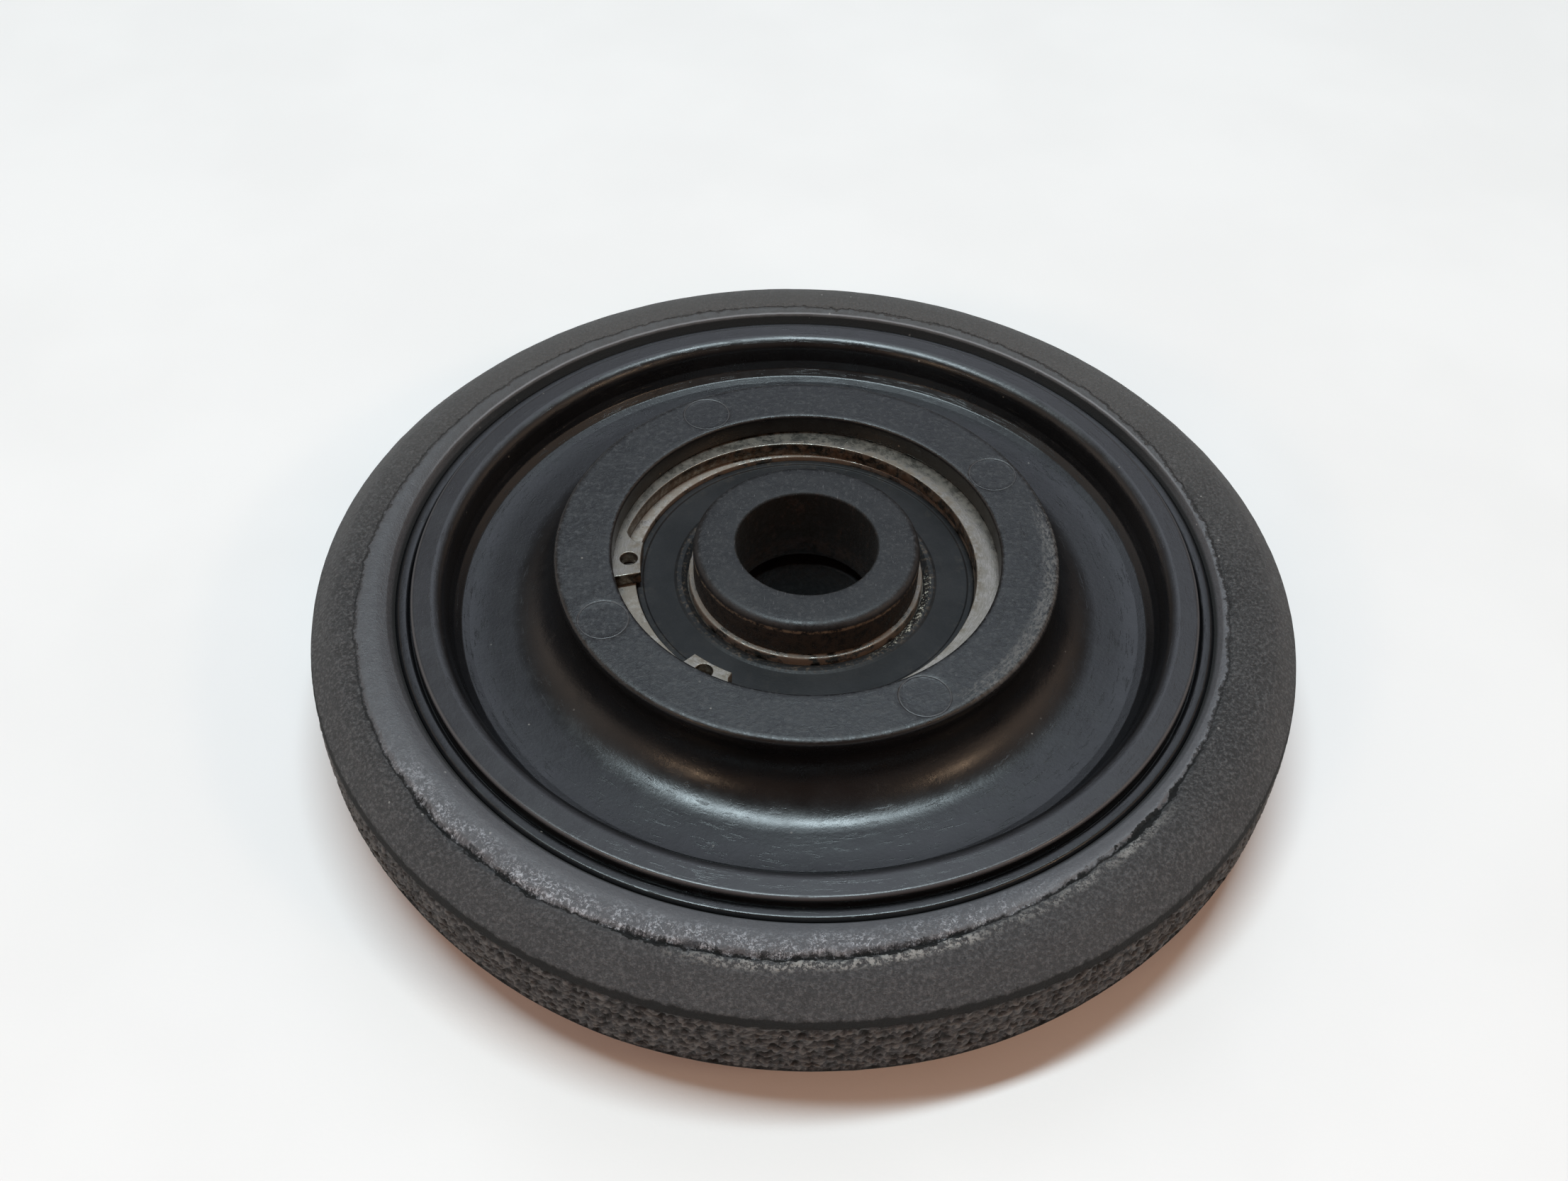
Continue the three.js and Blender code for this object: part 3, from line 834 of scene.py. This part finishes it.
def snap_outline():
    """Plan outline of the snap ring, anticlockwise from the lug that follows its gap, and its two eyes."""
    gap_centre = math.radians(211)
    half_gap, lug, ease = (math.radians(deg) for deg in (20.0, 16.0, 5.5))
    outer, lug_reach, inner, eye_pitch, eye_radius = 27.35, 22.35, 24.06, 23.95, 1.18
    offset_centre = on_circle(1.16, gap_centre)
    first, last = gap_centre + half_gap, gap_centre + FULL_TURN - half_gap
    start, end = last - lug - ease, first + lug + ease

    def eased(lug_end, direction):
        """From a lug's end out to the inner edge of the ring."""
        points = []
        for t in (k / 8 for k in range(1, 8)):
            a = lug_end + direction * ease * t
            blend = t**0.45
            near, away = np.array(on_circle(lug_reach, a)), np.array(on_circle(inner, a, offset_centre))
            points.append(tuple(near * (1 - blend) + away * blend))
        return points

    points = [on_circle(outer, first + (last - first) * k / 180) for k in range(181)]
    points += [on_circle(lug_reach, last - lug * k / 12) for k in range(1, 13)]
    points += eased(last - lug, -1)
    points += [on_circle(inner, start + (end - start) * k / 150, offset_centre) for k in range(151)]
    points += eased(first + lug, 1)[::-1]
    points += [on_circle(lug_reach, first + lug * k / 12) for k in range(12, 0, -1)]
    eyes = [(on_circle(eye_pitch, a), eye_radius) for a in (last - lug / 2, first + lug / 2)]
    return points, eyes


def make_snap_ring():
    """The outline, filled, thickened and bevelled by a curve object, then kept as a mesh."""
    outline, eyes = snap_outline()
    curve = bpy.data.curves.new("snap_ring_outline", "CURVE")
    curve.dimensions = "2D"
    curve.fill_mode = "BOTH"
    bevel = 0.1
    curve.extrude = (SNAP_THICKNESS / 2 - bevel) * MM
    curve.bevel_depth = bevel * MM
    curve.bevel_resolution = 2
    curve.offset = -bevel * MM
    rings = [outline]
    for centre, radius in eyes:
        rings.append([on_circle(radius, FULL_TURN * k / 32, centre) for k in range(32)])
    for ring in rings:
        spline = curve.splines.new("POLY")
        spline.points.add(len(ring) - 1)
        spline.use_cyclic_u = True
        for point, (x, y) in zip(spline.points, ring):
            point.co = (x * MM, y * MM, 0, 1)
    holder = bpy.data.objects.new("snap_ring_curve", curve)
    bpy.context.scene.collection.objects.link(holder)
    bpy.context.view_layer.update()
    mesh = bpy.data.meshes.new_from_object(holder.evaluated_get(bpy.context.evaluated_depsgraph_get()))
    bpy.data.objects.remove(holder)
    low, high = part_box("snap_ring")
    mesh.transform(Matrix.Translation((0, 0, (low.z + high.z) / 2)))
    obj = bpy.data.objects.new("snap_ring_detailed", mesh)
    bpy.context.scene.collection.objects.link(obj)
    return obj


def snap_material():
    f = Finish("spring_steel")
    lines = f.noise(0.3, 3, 0.7, f.turned(7, 3.0))
    colour = f.mix(f.step(lines, 0.35, 0.65), (0.31, 0.287, 0.252), (0.22, 0.202, 0.175))
    inner = f.step(f.radius, 23.2, 24.6, 1.0, 0.0)
    grime = f.times(f.step(f.noise(1.6, 4, 0.75), 0.4, 0.62), f.plus(f.times(inner, 0.6), 0.3))
    colour = f.mix(grime, colour, (0.13, 0.105, 0.08))
    below = f.step(f.z, 9.2, 9.5, 0.8, 0.0)
    rust = f.times(below, f.step(f.noise(0.9, 3, 0.7), 0.35, 0.6))
    colour = f.mix(rust, colour, (0.1, 0.065, 0.04))
    metallic = f.inverse(f.times(grime, 0.7))
    roughness = f.plus(f.step(lines, 0.3, 0.7, 0.25, 0.38), f.times(grime, 0.3))
    return f.done(colour, roughness, f.bump(lines, 0.012), metallic)


# ---- the bushings --------------------------------------------------------------------------------


def make_bushing(name, sign):
    """A sleeve in the bearing's bore with a flange on the inner ring."""
    top = [
        (BORE_RADIUS, 1.0, 0.2),
        (12.45, 1.0, 0.3),
        (12.45, 7.55, 0.0),
        (15.25, 7.55, 0.15),
        (15.25, 12.9, 1.1),
        (BORE_RADIUS, 12.9, 0.3),
    ]
    return bearing_part(name, top if sign > 0 else flipped(top), 6)


def bushing_material():
    f = Finish("black_oxide_steel")
    height = f.math("ABSOLUTE", f.z)
    face = f.step(height, 12.5, 12.85)
    bore = f.step(f.radius, 9.6, 9.9, 1.0, 0.0)
    cloud = f.noise(3.5, 4, 0.65)
    lines = f.noise(0.3, 3, 0.7, f.turned(5, 3.0))
    speckle = f.noise(0.7, 5, 0.8)
    colour = f.mix(f.step(cloud, 0.35, 0.65), (0.007, 0.0073, 0.0083), (0.013, 0.0133, 0.0147))
    # painted shade: the bore is painted near-black
    colour = f.mix(f.step(f.radius, 9.6, 9.9, 0.75, 0.0), colour, (0.002, 0.002, 0.002))
    colour = f.mix(f.times(face, f.step(speckle, 0.5, 0.66, 0.0, 0.7)), colour, (0.042, 0.042, 0.045))

    # a rusty flange side and bore, the bore's lower half paler, and a rubbed edge under the flange's top
    side = f.times(f.step(f.radius, 14.6, 15.1), f.step(height, 10.9, 11.9, 1.0, 0.0))
    rust = f.times(side, f.step(f.noise(1.4, 4, 0.75), 0.36, 0.6))
    worn = f.times(f.band(height, 11.5, 11.95, 0.15), f.step(f.radius, 14.9, 15.2))
    worn = f.times(worn, f.step(f.noise(1.1, 4, 0.75), 0.42, 0.6))
    low = f.times(f.band(height, 1.2, 4.2, 0.9), bore)
    streaks = f.times(bore, f.step(f.noise(1.2, 4, 0.75, f.turned(9, 0.45)), 0.5, 0.64))
    bore_rust = f.times(f.most(low, streaks), f.step(f.noise(0.9, 4, 0.75), 0.38, 0.6))
    colour = f.mix(f.times(rust, 0.35), colour, (0.05, 0.043, 0.036))
    lower_bore = f.times(bore, f.step(f.z, -3.0, -1.0, 0.8, 0.0))
    colour = f.mix(lower_bore, colour, (0.024, 0.0245, 0.026))
    colour = f.mix(f.times(worn, 0.7), colour, (0.2, 0.17, 0.13))
    colour = f.mix(f.times(bore_rust, 0.5), colour, (0.035, 0.024, 0.019))
    scratch = f.times(face, f.step(f.noise(0.2, 2, 0.7, f.stretched(1.0, 0.12, 1.0)), 0.66, 0.72))
    colour = f.mix(f.times(scratch, 0.5), colour, (0.13, 0.13, 0.135))

    roughness = f.plus(f.step(cloud, 0.3, 0.7, 0.32, 0.42), f.step(speckle, 0.35, 0.65, 0.0, 0.2))
    roughness = f.plus(roughness, f.times(f.most(rust, bore), 0.4))
    normal = f.bump(f.noise(0.25, 3, 0.7), 0.012)
    normal = f.bump(lines, 0.012, normal)
    normal = f.bump(speckle, 0.04, normal)
    normal = f.bump(f.most(rust, bore_rust), 0.04, normal)
    return f.done(colour, roughness, normal, specular=0.42)


# ---- the object ----------------------------------------------------------------------------------

settle(make_tyre(), tyre_material(), "wheel", "tyre_rubber", "tyre")
settle(make_wheel(), plastic_material(), "wheel", "wheel_plastic", "wheel_body")
outer_steel = steel_material("outer_ring_steel", 0.8, 1.0)
inner_steel = steel_material("inner_ring_steel", 0.7, 0.7)
settle(make_outer_ring(), outer_steel, "wheel", "bearing_steel", "bearing_outer_ring")
settle(make_inner_ring(), inner_steel, "axle_bushings", "bearing_steel", "bearing_inner_ring")
seal = seal_material()
settle(make_seal("upper_seal_detailed", 1), seal, "wheel", "seal_rubber", "upper_seal")
settle(make_seal("lower_seal_detailed", -1), seal, "wheel", "seal_rubber", "lower_seal")
settle(make_snap_ring(), snap_material(), "wheel", "spring_steel", "snap_ring")
bushing = bushing_material()
settle(make_bushing("upper_bushing_detailed", 1), bushing, "axle_bushings", "bushing_steel", "upper_bushing")
settle(make_bushing("lower_bushing_detailed", -1), bushing, "axle_bushings", "bushing_steel", "lower_bushing")

cage, ball = cage_material(), ball_material()
for name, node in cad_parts.items():
    if name.startswith(("ball_", "cage_rivet_", "upper_cage", "lower_cage")):
        node.data.materials.clear()
        node.data.materials.append(ball if name.startswith("ball_") else cage)

# ---- floor, light and camera ---------------------------------------------------------------------


def make_floor():
    half = 3.0
    corners = [(-half, -half, 0), (half, -half, 0), (half, half, 0), (-half, half, 0)]
    obj = finish_mesh("table_top", corners, [(0, 1, 2, 3)])
    f = Finish("white_table")
    colour = f.mix(f.step(f.noise(60, 3), 0.35, 0.65), (0.79, 0.78, 0.77), (0.815, 0.805, 0.795))
    obj.data.materials.append(f.done(colour, 0.55, f.bump(f.noise(0.8, 3), 0.02), specular=0.3))


def add_panel(name, location, size, radiance, colour, turn_deg=None):
    """A rectangular light. It faces the wheel, or with turn_deg it faces down, turned about Z."""
    light = bpy.data.lights.new(name, "AREA")
    light.shape = "RECTANGLE"
    light.size, light.size_y = size
    light.energy = radiance * math.pi * size[0] * size[1]
    light.color = colour
    obj = bpy.data.objects.new(name, light)
    if turn_deg is None:
        aim = (-Vector(location)).to_track_quat("-Z", "Y").to_matrix().to_4x4()
    else:
        aim = Matrix.Rotation(math.radians(turn_deg), 4, "Z")
    obj.matrix_world = Matrix.Translation(location) @ aim
    bpy.context.scene.collection.objects.link(obj)
    return obj


def add_lobe(tree, view, direction, power, colour):
    """A background of that colour, brightest in one direction. Power 0 gives it all round."""
    dot = tree.nodes.new("ShaderNodeVectorMath")
    dot.operation = "DOT_PRODUCT"
    tree.links.new(view, dot.inputs[0])
    dot.inputs[1].default_value = Vector(direction).normalized()
    above = tree.nodes.new("ShaderNodeMath")
    above.operation = "MAXIMUM"
    tree.links.new(dot.outputs["Value"], above.inputs[0])
    above.inputs[1].default_value = 0.0
    lobe = tree.nodes.new("ShaderNodeMath")
    lobe.operation = "POWER"
    tree.links.new(above.outputs[0], lobe.inputs[0])
    lobe.inputs[1].default_value = power
    background = tree.nodes.new("ShaderNodeBackground")
    background.inputs[0].default_value = (*colour, 1)
    tree.links.new(lobe.outputs[0], background.inputs[1])
    return background.outputs[0]


def make_world():
    """A dim room: pale glows high on the far side, warm ones low at both sides and behind the camera."""
    world = bpy.data.worlds.new("soft_room")
    world.use_nodes = True
    tree = world.node_tree
    tree.nodes.clear()
    output = tree.nodes.new("ShaderNodeOutputWorld")
    view = tree.nodes.new("ShaderNodeTexCoord").outputs["Generated"]
    total = add_lobe(tree, view, (0.0, 0.0, 1.0), 0.0, (0.032, 0.031, 0.032))
    for direction, power, colour in (
        ((0.04, 0.72, 0.69), 43.0, (0.99, 1.07, 1.24)),
        ((0.04, 0.53, 0.85), 43.0, (0.97, 1.05, 1.22)),
        ((-0.95, 0.1, 0.24), 4.0, (0.74, 0.6, 0.5)),
        ((0.95, 0.06, 0.24), 4.0, (0.74, 0.53, 0.39)),
        ((0.0, -0.85, 0.4), 3.0, (0.13, 0.07, 0.04)),
    ):
        both = tree.nodes.new("ShaderNodeAddShader")
        tree.links.new(total, both.inputs[0])
        tree.links.new(add_lobe(tree, view, direction, power, colour), both.inputs[1])
        total = both.outputs[0]
    tree.links.new(total, output.inputs[0])
    bpy.context.scene.world = world


def from_direction(azimuth_deg, elevation_deg, distance):
    """A point in that direction from the wheel. Azimuth 0 is +Y, the far side, and 90 is +X."""
    a, e = math.radians(azimuth_deg), math.radians(elevation_deg)
    flat = distance * math.cos(e)
    return (flat * math.sin(a), flat * math.cos(a), distance * math.sin(e))


def make_camera():
    """The photo's camera, as fitted to the circles of the wheel."""
    yaw, pitch, roll = -0.01878, 0.81473, 0.03163
    camera = bpy.data.cameras.new("photo_view")
    camera.sensor_fit = "HORIZONTAL"
    camera.sensor_width = 36.0
    camera.lens = 36.84
    camera.clip_start, camera.clip_end = 0.01, 20.0
    flat = math.cos(pitch)
    forward = Vector((math.sin(yaw) * flat, math.cos(yaw) * flat, -math.sin(pitch)))
    right = Vector((math.cos(yaw), -math.sin(yaw), 0))
    up = right.cross(forward)
    x_axis = right * math.cos(roll) + up * math.sin(roll)
    y_axis = up * math.cos(roll) - right * math.sin(roll)
    turn = Matrix((x_axis, y_axis, -forward)).transposed().to_4x4()
    obj = bpy.data.objects.new("photo_view", camera)
    obj.matrix_world = Matrix.Translation((0.0, -0.15207, 0.17751)) @ turn
    bpy.context.scene.collection.objects.link(obj)
    bpy.context.scene.camera = obj


make_floor()
make_world()
add_panel("strip_light", (-0.15, 0.18, 2.2), (1.5, 0.2), 51.5, (0.74, 0.89, 0.955), 22.0)
fill = add_panel("warm_bounce", from_direction(180, 38, 1.3), (1.4, 0.5), 1.5, (0.95, 0.45, 0.33))
fill.visible_glossy = False
add_panel("warm_lamp_left", from_direction(-140, 32, 1.2), (0.17, 0.13), 15.0, (1.0, 0.7, 0.46))
add_panel("warm_lamp_right", from_direction(115, 38, 1.2), (0.17, 0.13), 15.0, (1.0, 0.7, 0.46))
make_camera()

bpy.context.scene.view_settings.view_transform = "Standard"
